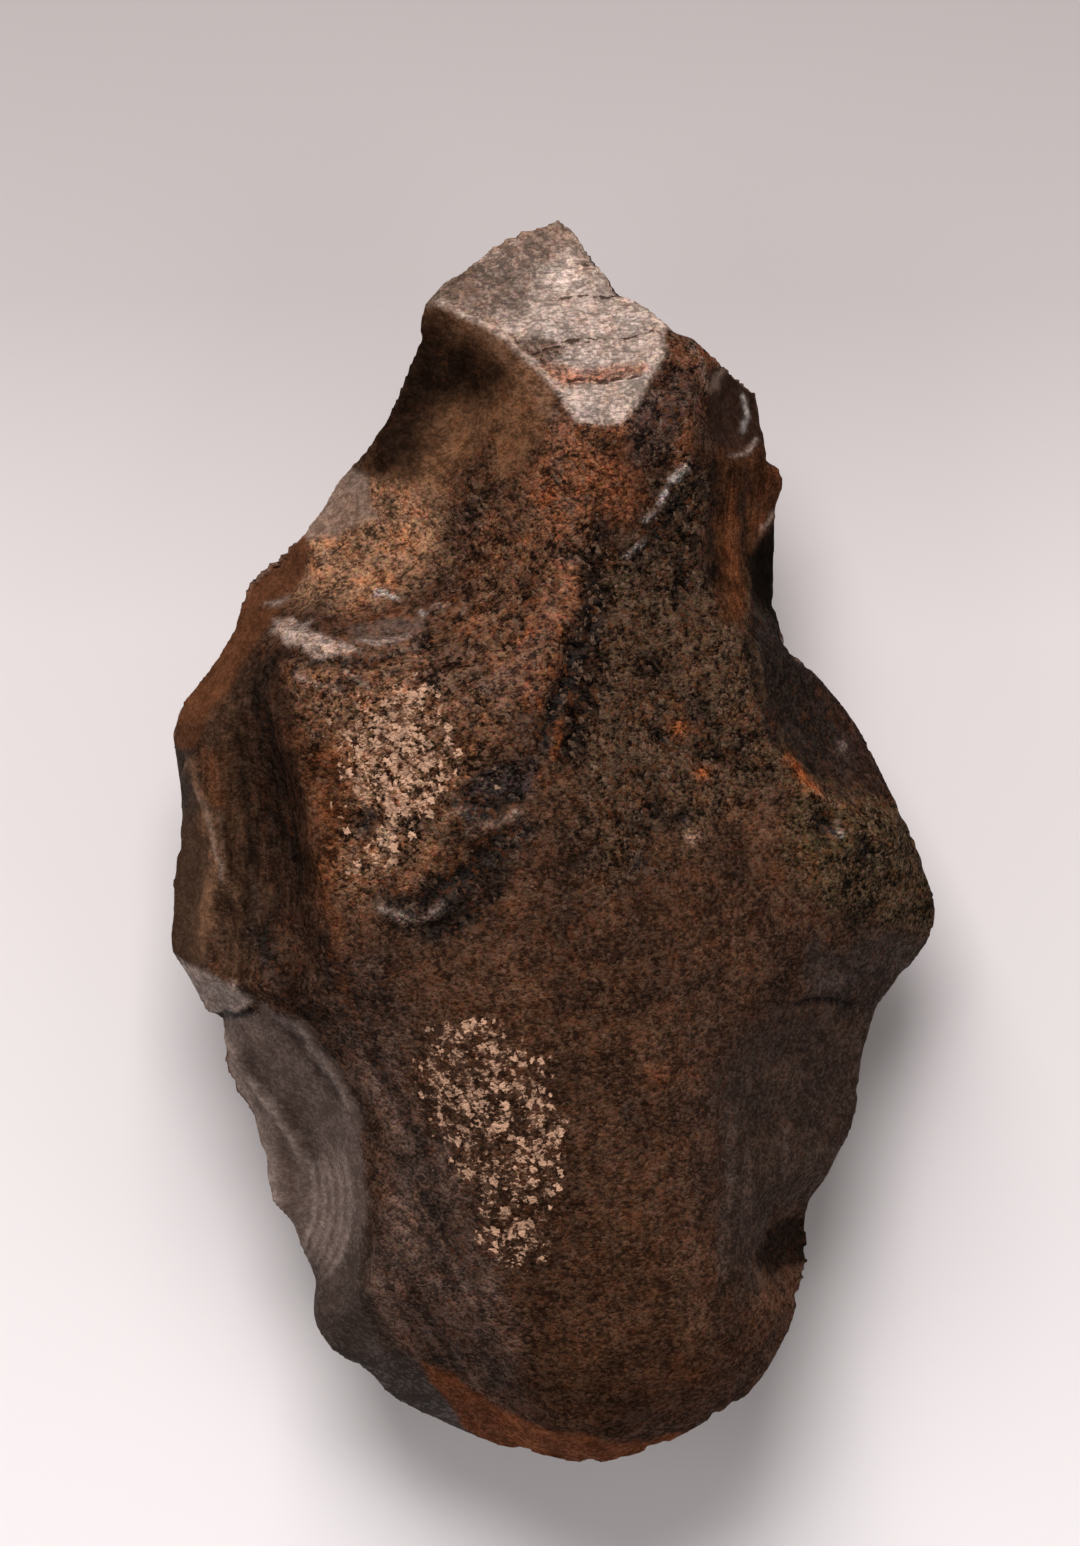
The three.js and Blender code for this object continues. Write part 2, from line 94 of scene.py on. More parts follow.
# An area of the worked face, painted in the order of the list. Corners go round it in plan; grain is
# 1 on the stone's sandy skin and 0 on a clean flake scar; sheen is how much the polish shows; soft
# and ragged are how far its edge fades and wanders.
Area = namedtuple("Area", "name tone strength grain sheen soft ragged corners")
AREAS = [Area(*row) for row in [
    ("right of the middle", "grey brown", 0.8, 1.0, 0.1, 5, 3,
     [(7, 40), (21, 53), (28, 29), (33, 9), (21, 1), (7, -6), (1, 6), (5, 23)]),
    ("upper middle", "warm brown", 0.9, 1.0, 0.1, 5, 3,
     [(-1, 61), (12, 59), (7, 46), (5, 29), (-1, 17), (-11, 11), (-19, 20), (-30, 22), (-14, 35), (-12, 43),
      (-2, 53)]),
    ("under the tip", "bright rust", 0.22, 1.0, 0.1, 3, 3,
     [(2, 62), (11, 63), (14, 56), (10, 46), (2, 44), (-4, 50), (-1, 58)]),
    ("left of the middle", "warm brown", 0.9, 1.0, 0.1, 5, 3,
     [(-40, 26), (-20, 28), (-10, 12), (-14, -2), (-20, -10), (-30, -8), (-36, 8)]),
    ("light round the crystals", "tan", 0.4, 1.0, 0.1, 5, 3,
     [(-33, 24), (-24, 26), (-14, 20), (-14, 4), (-22, -8), (-28, -4), (-31, 10)]),
    ("orange beside the break", "rust", 0.3, 1.0, 0.1, 1.5, 2,
     [(-4, 38), (4, 39), (3, 28), (-1, 22), (-1, 9), (-4, 9), (-4, 22), (-6, 28)]),
    ("tip facet", "fresh grey", 1.0, 0.35, 0.3, 0.6, 1.1,
     [(0, 93), (9, 84), (13, 79), (17, 74), (15, 70), (13, 65), (12, 61), (8, 59), (3, 60), (0, 66),
      (-5, 71), (-11, 74), (-20, 78), (-18, 84), (-5, 90)]),
    ("left of the tip facet", "warm grey", 0.9, 0.5, 0.3, 3, 2,
     [(-22, 78), (-15, 83), (-8, 88), (3, 96), (3, 86), (-4, 80), (-6, 74), (-11, 73)]),
    ("top of the tip", "grey pink", 0.7, 0.4, 0.2, 2, 1.5, [(-6, 90), (0, 95), (6, 88), (5, 84), (-2, 84)]),
    ("rust over the last crack", "bright rust", 0.65, 0.8, 0.1, 0.7, 1,
     [(-5, 69.5), (0, 68.5), (5, 67), (13, 68.5), (13, 67), (8, 65.5), (3, 65), (-1, 66)]),
    ("brown gap in the tip facet", "warm brown", 0.8, 0.8, 0.1, 0.6, 0.8,
     [(-6, 72), (0, 72), (2, 70), (-1, 68), (-4, 69)]),
    ("right of the tip", "red brown", 0.9, 1.0, 0.15, 0.8, 1.8,
     [(18, 74), (27, 69), (23, 64), (21, 58), (20, 53), (13, 53), (11, 60), (15, 69)]),
    ("dark by the tip facet", "blue black", 0.6, 0.9, 0.2, 1.2, 1.5,
     [(15, 68), (20, 67), (20, 62), (17, 54), (12, 54), (11, 60), (13, 64)]),
    ("thumb scar", "deep tan", 1.0, 0.35, 0.1, 0.5, 0.5,
     [(-20, 79), (-11, 74), (-5, 71), (-1, 67), (0, 63), (-1, 58), (-5, 53), (-11, 49), (-16, 46), (-22, 46),
      (-28, 53), (-24, 61)]),
    ("shade of the thumb scar", "shaded brown", 1.0, 0.2, 0.0, 4, 2,
     [(-22, 77), (-12, 72), (-7, 68), (-9, 63), (-16, 61), (-19, 55), (-24, 49), (-29, 52), (-26, 62)]),
    ("tan slope", "tan", 0.95, 0.8, 0.2, 2.5, 2,
     [(-26, 53), (-16, 49), (-14, 43), (-17, 37), (-22, 35), (-31, 33), (-38, 35), (-35, 40), (-35, 45),
      (-31, 49)]),
    ("grey shoulder", "grey pink", 0.82, 0.1, 0.4, 0.8, 0.8,
     [(-34, 55), (-27, 53), (-26, 46), (-31, 44), (-37, 43), (-37, 49)]),
    ("upper margin scar", "red brown", 1.0, 0.15, 0.03, 0.4, 0.4,
     [(-37, 46), (-35, 42), (-36, 38), (-38, 35), (-42, 34), (-47, 31), (-49, 36), (-44, 42), (-39, 46)]),
    ("orange margin", "orange brown", 1.0, 0.1, 0.1, 0.8, 0.6,
     [(-42, 34), (-38, 35), (-41, 31), (-43, 27), (-46, 22), (-49, 18), (-52, 13), (-58, 12), (-58, 19),
      (-53, 24), (-50, 28), (-46, 32)]),
    # The nose: partly its own whitish grey and partly a painted highlight where it faces the light.
    ("nose", "fresh grey", 0.65, 0.4, 0.2, 0.5, 1.5,
     [(-41, 32), (-38, 32), (-34, 30), (-30, 28), (-28, 26.5), (-33, 26), (-38, 28), (-41, 30)]),
    ("grey patches by the nose", "scar grey", 0.6, 0.5, 0.15, 0.5, 1.5,
     [(-29, 30), (-26, 31), (-18, 33), (-19, 29), (-25, 28), (-29, 28)]),
    ("trough", "trough brown", 1.0, 0.3, 0.05, 1.5, 1,
     [(-45, 22), (-42, 27), (-40, 26), (-38, 20), (-36, 11), (-35, 3), (-34, -4), (-36, -11), (-36, -16),
      (-31, -22), (-44, -23), (-47, -18), (-49, -9), (-50, 3), (-51, 13), (-49, 18)]),
    # Partly dark stone and partly painted shade on the trough's deep side.
    ("deep side of the trough", "dark brown", 0.9, 0.4, 0.0, 1.8, 1.5,
     [(-43, 27), (-38, 28), (-37, 18), (-35, 6), (-34, -4), (-36, -14), (-41, -14), (-42, 0), (-43, 14)]),
    ("foot of the trough", "dark brown", 0.7, 0.7, 0.05, 1.5, 1.5,
     [(-44, -12), (-34, -12), (-29, -15), (-29, -24), (-34, -26), (-44, -22)]),
    ("left bevel", "dull grey", 1.0, 0.1, 0.1, 0.6, 0.4,
     [(-58, 13), (-52, 13), (-50, 6), (-49, -3), (-49, -9), (-50, -20), (-58, -17), (-60, -9), (-59, 3)]),
    ("lower bevel", "trough brown", 0.8, 0.1, 0.05, 2, 1,
     [(-59, 3), (-50, 5), (-49, -3), (-49, -9), (-50, -20), (-58, -17), (-60, -9)]),
    # The lip: partly its own grey and partly painted sheen.
    ("lip", "pale grey", 0.88, 0.1, 0.5, 0.6, 0.4,
     [(-58, -16), (-50, -19), (-46, -21), (-43, -23), (-46, -25), (-50, -27), (-57, -24)]),
    ("slope beside the ripple scar", "scar grey", 0.5, 0.6, 0.1, 3, 3,
     [(-32, -25), (-23, -23), (-20, -35), (-16, -45), (-12, -52), (-9, -64), (-5, -72), (-8, -81),
      (-16, -76), (-23, -72), (-27, -66), (-27, -56), (-24, -46), (-26, -38), (-29, -32)]),
    ("ripple scar", "scar grey", 1.0, 0.05, 0.35, 0.7, 1,
     [(-50, -26), (-45, -25), (-41, -24), (-36, -26), (-31, -32), (-28, -38), (-27, -46), (-27, -55),
      (-28, -62), (-27, -68), (-24, -73), (-30, -79), (-37, -76), (-40, -65), (-44, -55), (-49, -45),
      (-52, -35)]),
    ("foot of the ripple scar", "dull grey", 0.8, 0.05, 0.2, 4, 1,
     [(-41, -60), (-27, -58), (-24, -72), (-30, -80), (-38, -76)]),
    ("outer side of the ripple scar", "pale grey", 0.85, 0.05, 0.35, 2, 1,
     [(-52, -31), (-47, -29), (-42, -42), (-39, -52), (-46, -52)]),
    ("butt facet", "dull grey", 0.9, 0.1, 0.4, 1, 1,
     [(-37, -71), (-28, -75), (-23, -73), (-18, -76), (-14, -81), (-9, -90), (-18, -92), (-28, -86),
      (-34, -78)]),
    ("rust stripe", "rust", 1.0, 0.3, 0.1, 0.5, 0.7,
     [(-19, -75), (-15, -76), (-11, -79), (-7, -82), (1, -84.5), (13, -86), (22, -85), (20, -92), (7, -94),
      (-6, -90), (-12, -86), (-15, -81)]),
    ("right chip", "dark brown", 1.0, 0.1, 0.08, 0.4, 0.4,
     [(22, 67), (27, 69), (32, 64), (34, 56), (28, 56), (24, 56), (22, 59)]),
    ("right strip", "dark orange", 0.95, 0.3, 0.05, 1.2, 1,
     [(21, 56), (31, 56), (36, 52), (33, 47), (29, 43), (28, 35), (28, 30), (24, 32), (22, 40)]),
    # The notch: partly near-black stone and partly painted shade, where it faces away from the light.
    ("right notch", "near black", 1.0, 0.1, 0.0, 0.5, 0.4,
     [(34, 48), (36, 40), (36, 33), (37, 28), (31, 28), (28, 33), (28, 41)]),
    ("right hollow", "dark brown", 1.0, 0.5, 0.1, 0.8, 1,
     [(28, 34), (31, 29), (37, 28), (45, 20), (50, 12), (53, 6), (43, 6), (40, 6), (34, 10), (31, 15),
      (29, 22)]),
    ("depth of the hollow", "black brown", 1.0, 0.4, 0.1, 1.5, 1.5,
     [(28, 34), (33, 31), (36, 25), (40, 18), (40, 12), (37, 9), (33, 13), (30, 20), (28, 27)]),
    ("gleam in the hollow", "blue black", 0.3, 0.3, 0.2, 1, 1,
     [(39, 16), (42, 16), (44, 12), (43, 9), (40, 9)]),
    ("olive corner", "olive", 0.9, 1.0, 0.1, 2, 2,
     [(34, 10), (40, 6), (53, 6), (57, -2), (60, -9), (57, -14), (47, -13), (38, -9), (33, -2)]),
    ("slope under the corner", "dull grey", 0.9, 0.4, 0.15, 2, 2,
     [(36, -15), (58, -13), (56, -17), (50, -25), (42, -24), (36, -24)]),
    ("lower right scar", "dull grey", 0.8, 0.25, 0.1, 3, 2,
     [(22, -35), (26, -26), (34, -24), (48, -24), (48, -39), (43, -47), (39, -52), (34, -54), (29, -60),
      (30, -65), (26, -66), (23, -52)]),
    ("right nick", "near black", 0.9, 0.3, 0.0, 0.8, 0.6,
     [(40, -51), (36, -54), (31, -56), (29, -60), (31, -63), (40, -59)]),
    # Partly dark stone and partly painted shade along the break, where the surface turns from the light.
    ("dark band down the break", "black brown", 0.85, 1.0, 0.05, 1.2, 2,
     [(6, 50), (8, 40), (8, 31), (7, 22), (6, 14), (1, 11), (-2, 13), (-1, 22), (3, 29), (4, 40), (5, 49)]),
    ("dark flank of the break", "black brown", 0.55, 1.0, 0.05, 2, 2,
     [(13, 51), (21, 52), (21, 37), (17, 35), (13, 42)]),
    ("dark round the diagonals", "black brown", 0.85, 0.8, 0.1, 1.2, 2.2,
     [(-2, 4), (-10, 1), (-17, -4), (-25, -7), (-24, -12), (-15, -13), (-9, -8), (-3, -1)]),
    ("orange zone", "orange brown", 0.88, 0.7, 0.05, 2, 2,
     [(-38, 16), (-30, 14), (-29, 1), (-30, -9), (-31, -16), (-34, -9), (-34, 0), (-36, 10)]),
    ("blue black hollow", "blue black", 0.85, 0.9, 0.1, 0.6, 1.5,
     [(-15, 6), (-11, 10), (-2, 12), (-3, 7), (-8, 4), (-13, 3)]),
    ("round the butt", "warm brown", 0.3, 0.35, 0.05, 8, 3,
     [(-6, -66), (16, -54), (30, -66), (24, -84), (0, -84)]),
    ("grey patch on the left", "blue black", 0.3, 0.8, 0.1, 1.5, 2,
     [(-28, -16), (-22, -16), (-22, -23), (-27, -24)]),
    ("dark right of the thumb scar", "dark brown", 0.6, 1.0, 0.1, 2.5, 2.5,
     [(-12, 56), (-8, 58), (-8, 50), (-12, 42), (-16, 40), (-14, 48)]),
    ("dark patch above the nose", "dark brown", 0.5, 1.0, 0.1, 2, 2.5,
     [(-22, 37), (-14, 38), (-12, 33), (-17, 32)]),
    ("dark patch under the ledge", "blue black", 0.3, 1.0, 0.1, 1.5, 2.5,
     [(-20, 28), (-14, 28), (-12, 25), (-18, 22), (-21, 24)]),
    ("dark strokes below the thumb scar", "dark brown", 0.5, 1.0, 0.1, 1.5, 2,
     [(-13, 46), (-8, 47), (-9, 40), (-14, 40)]),
]]

# Where the sandy skin is thick with pale crystals: name, share of the grains, soft edge, corners.
CRYSTALS = [
    ("upper crystals", 1.1, 5.5,
     [(-31, 16), (-27, 22), (-20, 26), (-14, 20), (-13, 9), (-18, 2), (-24, -5), (-29, -4), (-31, 6)]),
    ("lower crystals", 0.9, 3.5,
     [(-19, -25), (-8, -24), (-1, -30), (3, -41), (1, -52), (-3, -61), (-7, -64), (-11, -57), (-12, -51),
      (-16, -48), (-19, -38)]),
    ("hollow speckles", 0.45, 1, [(-14, 6), (-11, 11), (-3, 12), (-4, 7), (-8, 5)]),
]

# Dark areas that the crystals leave bare.
BARE = ["dark round the diagonals"]

# Areas where the stone is layered, and so looks streaked: across the tip, up and down the two
# steep sides, slantwise across the left of the middle, and falling to the right beside the ripples.
BEDDED = ["tip facet", "nose", "grey patches by the nose"]
UPRIGHT = ["trough", "right strip"]
SLANTED = ["left of the middle", "upper middle"]
FALLING = ["slope beside the ripple scar", "foot of the trough"]
FALL_ANGLE = -62
FALL_STRETCH = 9

# A line worked into the surface: a groove where depth is above 0, a ridge below 0, a stain at 0.
Line = namedtuple("Line", "name tone strength half_width depth points")
LINES = [Line(*row) for row in [
    ("upper diagonal", "near black", 1.0, 1.5, 0.6, [(-2, 3), (-7, 0), (-11, -2), (-15, -6), (-22, -10)]),
    ("foot of the hollow", "near black", 1.0, 1.1, 0.5, [(-4, 7), (-8, 4.5), (-13, 5)]),
    ("short diagonal", "near black", 0.9, 1.2, 0.35, [(-10, -10), (-14, -12), (-18, -13)]),
    ("light under the diagonal", "pale grey", 0.65, 0.6, -0.3, [(-15, -9), (-20, -11), (-25, -9)]),
    ("light between the diagonals", "grey pink", 0.7, 0.6, -0.4, [(-4, 4.5), (-8, 2.5), (-13, 1.5)]),
    # The break's near-black lines: partly dark stone, partly painted shade.
    ("down the break", "near black", 1.0, 1.8, 0.6, [(6, 40), (5, 30), (2, 24), (-1, 18), (-2, 13)]),
    ("second line of the break", "near black", 0.7, 1.0, 0.4, [(4, 22), (3, 16), (1, 12)]),
    ("rusty line in the break", "bright rust", 0.5, 0.5, 0.0, [(1, 17), (0, 11)]),
    ("break, higher up", "near black", 0.5, 0.9, 0.3, [(7, 50), (6, 42)]),
    # Partly dark streaks and partly painted shade along the trough's sides.
    ("side of the trough", "near black", 0.9, 1.4, 0.7,
     [(-40, 28), (-42, 22), (-41, 14), (-38, 4), (-37, -10)]),
    ("second side of the trough", "near black", 0.5, 0.8, 0.35,
     [(-45, 18), (-44, 6), (-43, -8), (-44, -18)]),
    ("streak in the trough", "near black", 0.5, 0.7, 0.3, [(-40, 8), (-40, -6), (-42, -20)]),
    ("streak at its foot", "near black", 0.5, 0.7, 0.3, [(-33, -12), (-32, -22)]),
    ("second streak at its foot", "near black", 0.5, 0.7, 0.3, [(-29, -16), (-28, -24)]),
    ("rib beside the bevel", "tan", 0.68, 0.9, -0.3,
     [(-53, 13), (-50.5, 6), (-48.8, -2), (-49.5, -9), (-51, -18)]),
    # Painted highlight along the rib's edge.
    ("bright edge of the rib", "grey pink", 0.9, 0.35, -0.2, [(-51, 8), (-49.2, 2), (-48, -3), (-48.2, -7)]),
    ("foot of the orange margin", "orange brown", 0.8, 1.6, 0.0, [(-50, 14), (-49, 9), (-48, 4)]),
    ("top edge of the orange margin", "pale grey", 0.7, 0.4, -0.2, [(-42, 34), (-38, 35)]),
    # Painted highlight along the nose ridge.
    ("nose ridge", "fresh grey", 0.6, 0.7, -0.6, [(-40, 30.5), (-36, 28.7), (-31, 26.7)]),
    ("light edge of the patch", "pale grey", 0.8, 0.35, -0.3, [(-29, 28.5), (-25, 28), (-20, 29.5)]),
    ("rusty top of the patch", "rust", 0.6, 0.6, 0.1, [(-29, 31.5), (-25, 32), (-20, 32)]),
    ("under the nose", "near black", 0.8, 0.7, 0.6, [(-41, 27), (-36, 26), (-30, 25), (-24, 26), (-17, 28)]),
    ("ledge", "pale grey", 0.5, 0.5, -0.3, [(-37, 24), (-33, 22), (-30, 21)]),
    ("second ledge", "pale grey", 0.6, 0.35, -0.3, [(-30, 24), (-28, 23), (-26, 22)]),
    ("under the second ledge", "near black", 0.6, 0.7, 0.4, [(-31, 22), (-25, 23), (-15, 26)]),
    # Painted highlights: short glints above and past the grey patches.
    ("light above the patches", "painted glint", 0.9, 0.3, -0.2, [(-26, 35.5), (-24, 35.2), (-22, 34.4)]),
    ("light past the patches", "painted glint", 0.8, 0.3, -0.2, [(-19.5, 33), (-18.5, 32)]),
    ("light further on", "pale grey", 0.8, 0.3, -0.2, [(-18, 33.3), (-15.5, 32.7)]),
    # Painted highlight along the rim of the tip facet.
    ("rim of the tip facet", "fresh grey", 0.9, 0.45, -0.3,
     [(-19, 77.5), (-11.5, 74.8), (-6.5, 71.6), (-2.2, 67.9), (2, 62.5)]),
    ("edge right of the tip facet", "grey pink", 0.8, 0.7, -0.2, [(18, 73), (21, 68), (22, 64.5)]),
    # Painted highlight on the lip ridge, and painted shade in the groove under the lip.
    ("lip ridge", "fresh grey", 0.7, 0.5, -0.3, [(-47, -20), (-44, -23), (-46, -25)]),
    ("under the lip", "near black", 0.9, 0.5, 0.6, [(-49, -25), (-46, -26), (-43, -24)]),
    # Painted highlight on the outer ripple ridge.
    ("outer ripple ridge", "pale grey", 0.9, 0.6, -0.5, [(-48, -27), (-44, -35), (-39, -41), (-36, -48)]),
    ("shade inside that ridge", "dark brown", 0.5, 1.2, 0.3,
     [(-45, -29), (-41, -36), (-36, -42), (-34, -50)]),
    ("edge of the ripple scar", "dark brown", 0.7, 0.6, 0.3,
     [(-29, -34), (-26, -42), (-26, -54), (-27, -62)]),
    ("first dark ripple", "dark brown", 0.8, 0.6, 0.3, [(-41, -25), (-34, -32), (-31, -38)]),
    ("second dark ripple", "dark brown", 0.6, 0.5, 0.2, [(-36, -26), (-30, -34), (-27, -42)]),
    ("light beside it", "pale grey", 0.5, 0.5, -0.15, [(-38, -26), (-32, -33), (-29, -39)]),
    ("hinge step", "near black", 0.9, 0.5, 0.6, [(34, -24), (39, -23), (44, -24)]),
    ("light above the hinge", "scar grey", 0.6, 1.2, -0.2, [(36, -22), (42, -20)]),
    ("streak in the right scar", "scar grey", 0.5, 0.7, 0.2, [(25, -36), (25, -50), (24, -64)]),
    ("second streak", "scar grey", 0.4, 0.6, 0.2, [(28, -42), (27, -56)]),
    ("third streak", "scar grey", 0.4, 0.5, 0.1, [(34, -40), (33, -50)]),
    ("notch edge", "near black", 0.8, 0.8, 0.4, [(27.5, 32), (28, 24), (31, 15), (35, 10)]),
    ("light along the notch", "grey brown", 0.9, 0.35, -0.3, [(27.2, 40), (27.4, 30), (29.4, 25), (30, 19)]),
    ("light in the hollow", "olive", 0.7, 0.4, -0.2, [(32, 15), (34, 11.5), (38, 8.5), (42, 8)]),
    ("light over the notch", "pale grey", 0.9, 0.35, -0.2, [(32.5, 47.5), (31, 45.5), (29.5, 44.3)]),
    ("dark band of the strip", "near black", 0.9, 1.3, 0.3, [(23, 56), (22.5, 46), (23.5, 34)]),
    ("thin dark band of the strip", "near black", 0.8, 0.8, 0.2, [(28, 54), (27.3, 46), (27.5, 38)]),
    ("orange band of the strip", "rust", 0.6, 0.8, -0.2, [(25.5, 52), (25.3, 42), (25.8, 32)]),
    ("orange edge of the strip", "rust", 0.5, 1.2, -0.2, [(32, 54), (30.5, 49), (29.2, 44)]),
    # Painted highlights along the chip's rims.
    ("chip rim", "painted glint", 0.9, 0.35, -0.2, [(27.5, 64), (28.5, 61), (27.5, 58)]),
    ("second chip rim", "pale grey", 0.8, 0.3, -0.2, [(30, 57.5), (28, 56), (25, 54.5)]),
    ("grey edge of the chip", "grey pink", 0.7, 0.9, -0.1, [(25, 68.5), (23, 66), (22.3, 63.5)]),
    # Painted highlights: the silver streaks are glints along the layers.
    ("silver streak", "painted glint", 1.0, 0.4, -0.25, [(19, 53.6), (17.5, 52.2), (16.5, 50.5)]),
    ("silver streak, middle", "painted glint", 0.8, 0.35, -0.25, [(16.2, 49.8), (14.3, 47), (12.5, 45.5)]),
    ("silver streak, lower", "painted glint", 0.6, 0.3, -0.2, [(13, 43), (11, 41), (9.5, 40.5)]),
    ("dark over the silver streak", "near black", 0.8, 1.0, 0.3, [(21, 52), (19, 49), (15, 45), (11, 39)]),
    ("ochre line", "bright rust", 0.8, 0.7, -0.2, [(32, 12.5), (34.5, 10), (36, 8), (38, 6.2)]),
    ("ochre line, lower", "tan", 0.7, 0.4, -0.2, [(36, 7.5), (39, 5.8), (42, 5)]),
    ("olive curve", "tan", 0.6, 0.4, -0.2, [(43, 2), (45.5, 1.5), (47, -1)]),
    ("shade under the olive curve", "near black", 0.7, 0.8, 0.3, [(42.5, 0.5), (45, -0.5), (46, -3)]),
    ("dark beside the strip", "near black", 0.6, 1.6, 0.2, [(19, 46), (18, 38), (19, 30)]),
]]

# A small mark: a stain and, where depth is above 0, a pit.
Spot = namedtuple("Spot", "name tone strength x y radius depth")
SPOTS = [Spot(*row) for row in [
    ("pit with the pale rim", "near black", 1.0, -26.5, 3, 2.2, 1.3),
    ("pale rim", "crystal", 0.8, -24, 1, 1.1, 0.0),
    ("pale rim above", "crystal", 0.6, -27, 5.6, 1.0, 0.0),
    ("round pit", "near black", 0.9, 18, 3.6, 1.4, 1.0),
    ("pink spot", "crystal", 0.8, 19.4, 0.6, 0.9, 0.0),
    ("slant pit", "near black", 0.9, 15, 15, 1.3, 1.0),
    ("orange by the slant pit", "bright rust", 0.8, 17.6, 16, 1.1, 0.0),
    ("orange spot", "bright rust", 1.0, 21, 9.5, 0.9, 0.0),
    ("corner pit", "near black", 1.0, 38.5, 2.5, 2.0, 1.6),
    # Painted highlight: a small glint by the corner pit.
    ("glint by the corner pit", "painted glint", 0.8, 40.6, 1, 0.5, 0.0),
    ("second corner pit", "near black", 0.8, 44.5, -3, 1.8, 1.0),
    ("small pit", "near black", 0.7, 26, -5, 0.9, 0.5),
    # Painted highlight: a grey glint in the hollow.
    ("grey spot in the hollow", "pale grey", 0.5, 41.5, 13.3, 0.7, 0.0),
    ("blue spot", "blue black", 0.7, 13, -3, 1.6, 0.2),
    ("lower blue spot", "blue black", 0.7, 10, -38, 1.1, 0.1),
    ("pit in the break", "near black", 0.7, -4, 18, 1.3, 0.5),
    ("higher pit in the break", "near black", 0.7, 2, 27, 1.3, 0.5),
    ("dark by the crystals", "near black", 0.5, -25, -31, 1.4, 0.3),
    ("dark over the butt", "near black", 0.4, -8, -77, 2.0, 0.2),
    ("rusty spot", "rust", 0.6, 15, -33, 1.4, 0.0),
    ("rusty spot near the butt", "rust", 0.5, 20, -76, 1.6, 0.0),
]]

# Bowls with a sharp rim: name, middle, half width, half length, heading of the length, depth.
DENTS = [
    ("upper margin scar", (-42, 39), 3.5, 6.5, 45, 0.9),
    ("blue black hollow", (-8.5, 7.3), 2.8, 7.0, 20, 1.0),
    ("right chip", (27, 61), 3.2, 6.5, 100, 0.6),
    ("outer chip", (-47, -34), 2.6, 6.0, 115, 0.4),
    ("shallow right scar", (33, -36), 8.0, 13.0, 95, 0.5),
]

RIPPLE_CENTRE = (-48, -52)
RIPPLE_RADII = (13.6, 15.0, 16.2, 17.6, 18.8)
RIPPLE_TURN = 38

# Cracks where the bedding breaks across the tip: height up the axe, middle and half length.
TIP_CRACKS = [(82.7, 5.5, 2.5), (77.9, 5.0, 6.0), (71.7, 7.5, 7.5), (69.8, -2.5, 4.5), (65.7, 7.0, 6.0)]
TIP_CRACK_CLIMB = 0.12
TIP_CRACK_WAVES = ((0.35, 0.45, 0.5), (0.12, 1.3, 2.0))


# ------------------------ noise


def smoothstep(low, high, value):
    """0 below low, 1 above high and an even ease between."""
    part = np.clip((value - low) / (high - low), 0, 1)
    return part * part * (3 - 2 * part)


def hashed(cell, seed):
    """A steady number from 0 to 1 for each whole-number cell."""
    mixed = cell[:, 0] * 374761393 + cell[:, 1] * 668265263 + cell[:, 2] * 974634777 + seed * 144269504
    mixed = mixed & 0xFFFFFFFF
    mixed = ((mixed ^ (mixed >> 13)) * 1274126177) & 0xFFFFFFFF
    mixed = ((mixed ^ (mixed >> 16)) * 668265263) & 0xFFFFFFFF
    return (mixed ^ (mixed >> 15)) / 0xFFFFFFFF


def noise(points, size, seed):
    """Smooth noise from -1 to 1, with lumps about size across, and another one for each seed."""
    place = points / size + 0.37 * seed
    cell = np.floor(place).astype(np.int64)
    ease = place - cell
    ease = ease * ease * ease * (ease * (ease * 6 - 15) + 10)
    total = np.zeros(len(points))
    for step in itertools.product((0, 1), repeat=3):
        weight = np.prod(np.where(step, ease, 1 - ease), axis=1)
        total += weight * hashed(cell + step, seed)
    return total * 2 - 1


def rough(points, size, seed, octaves=3):
    """Noise on noise, each layer half the size and half the strength of the last."""
    layers = [noise(points, size / 2**layer, seed + layer) / 2**layer for layer in range(octaves)]
    return sum(layers) / 1.5


def pebbles(points, size, seed):
    """Scattered centres: the distance to the nearest, in cell sizes, and that centre's own number."""
    place = points / size
    cell = np.floor(place).astype(np.int64)
    nearest = np.full(len(points), 9.0)
    number = np.zeros(len(points))
    for step in itertools.product((-1, 0, 1), repeat=3):
        near = cell + step
        centre = near + np.stack([hashed(near, seed + axis) for axis in range(3)], axis=1)
        gap = np.linalg.norm(place - centre, axis=1)
        closer = gap < nearest
        number = np.where(closer, hashed(near, seed + 3), number)
        nearest = np.minimum(nearest, gap)
    return nearest, number


# ------------------------ areas and strokes in plan


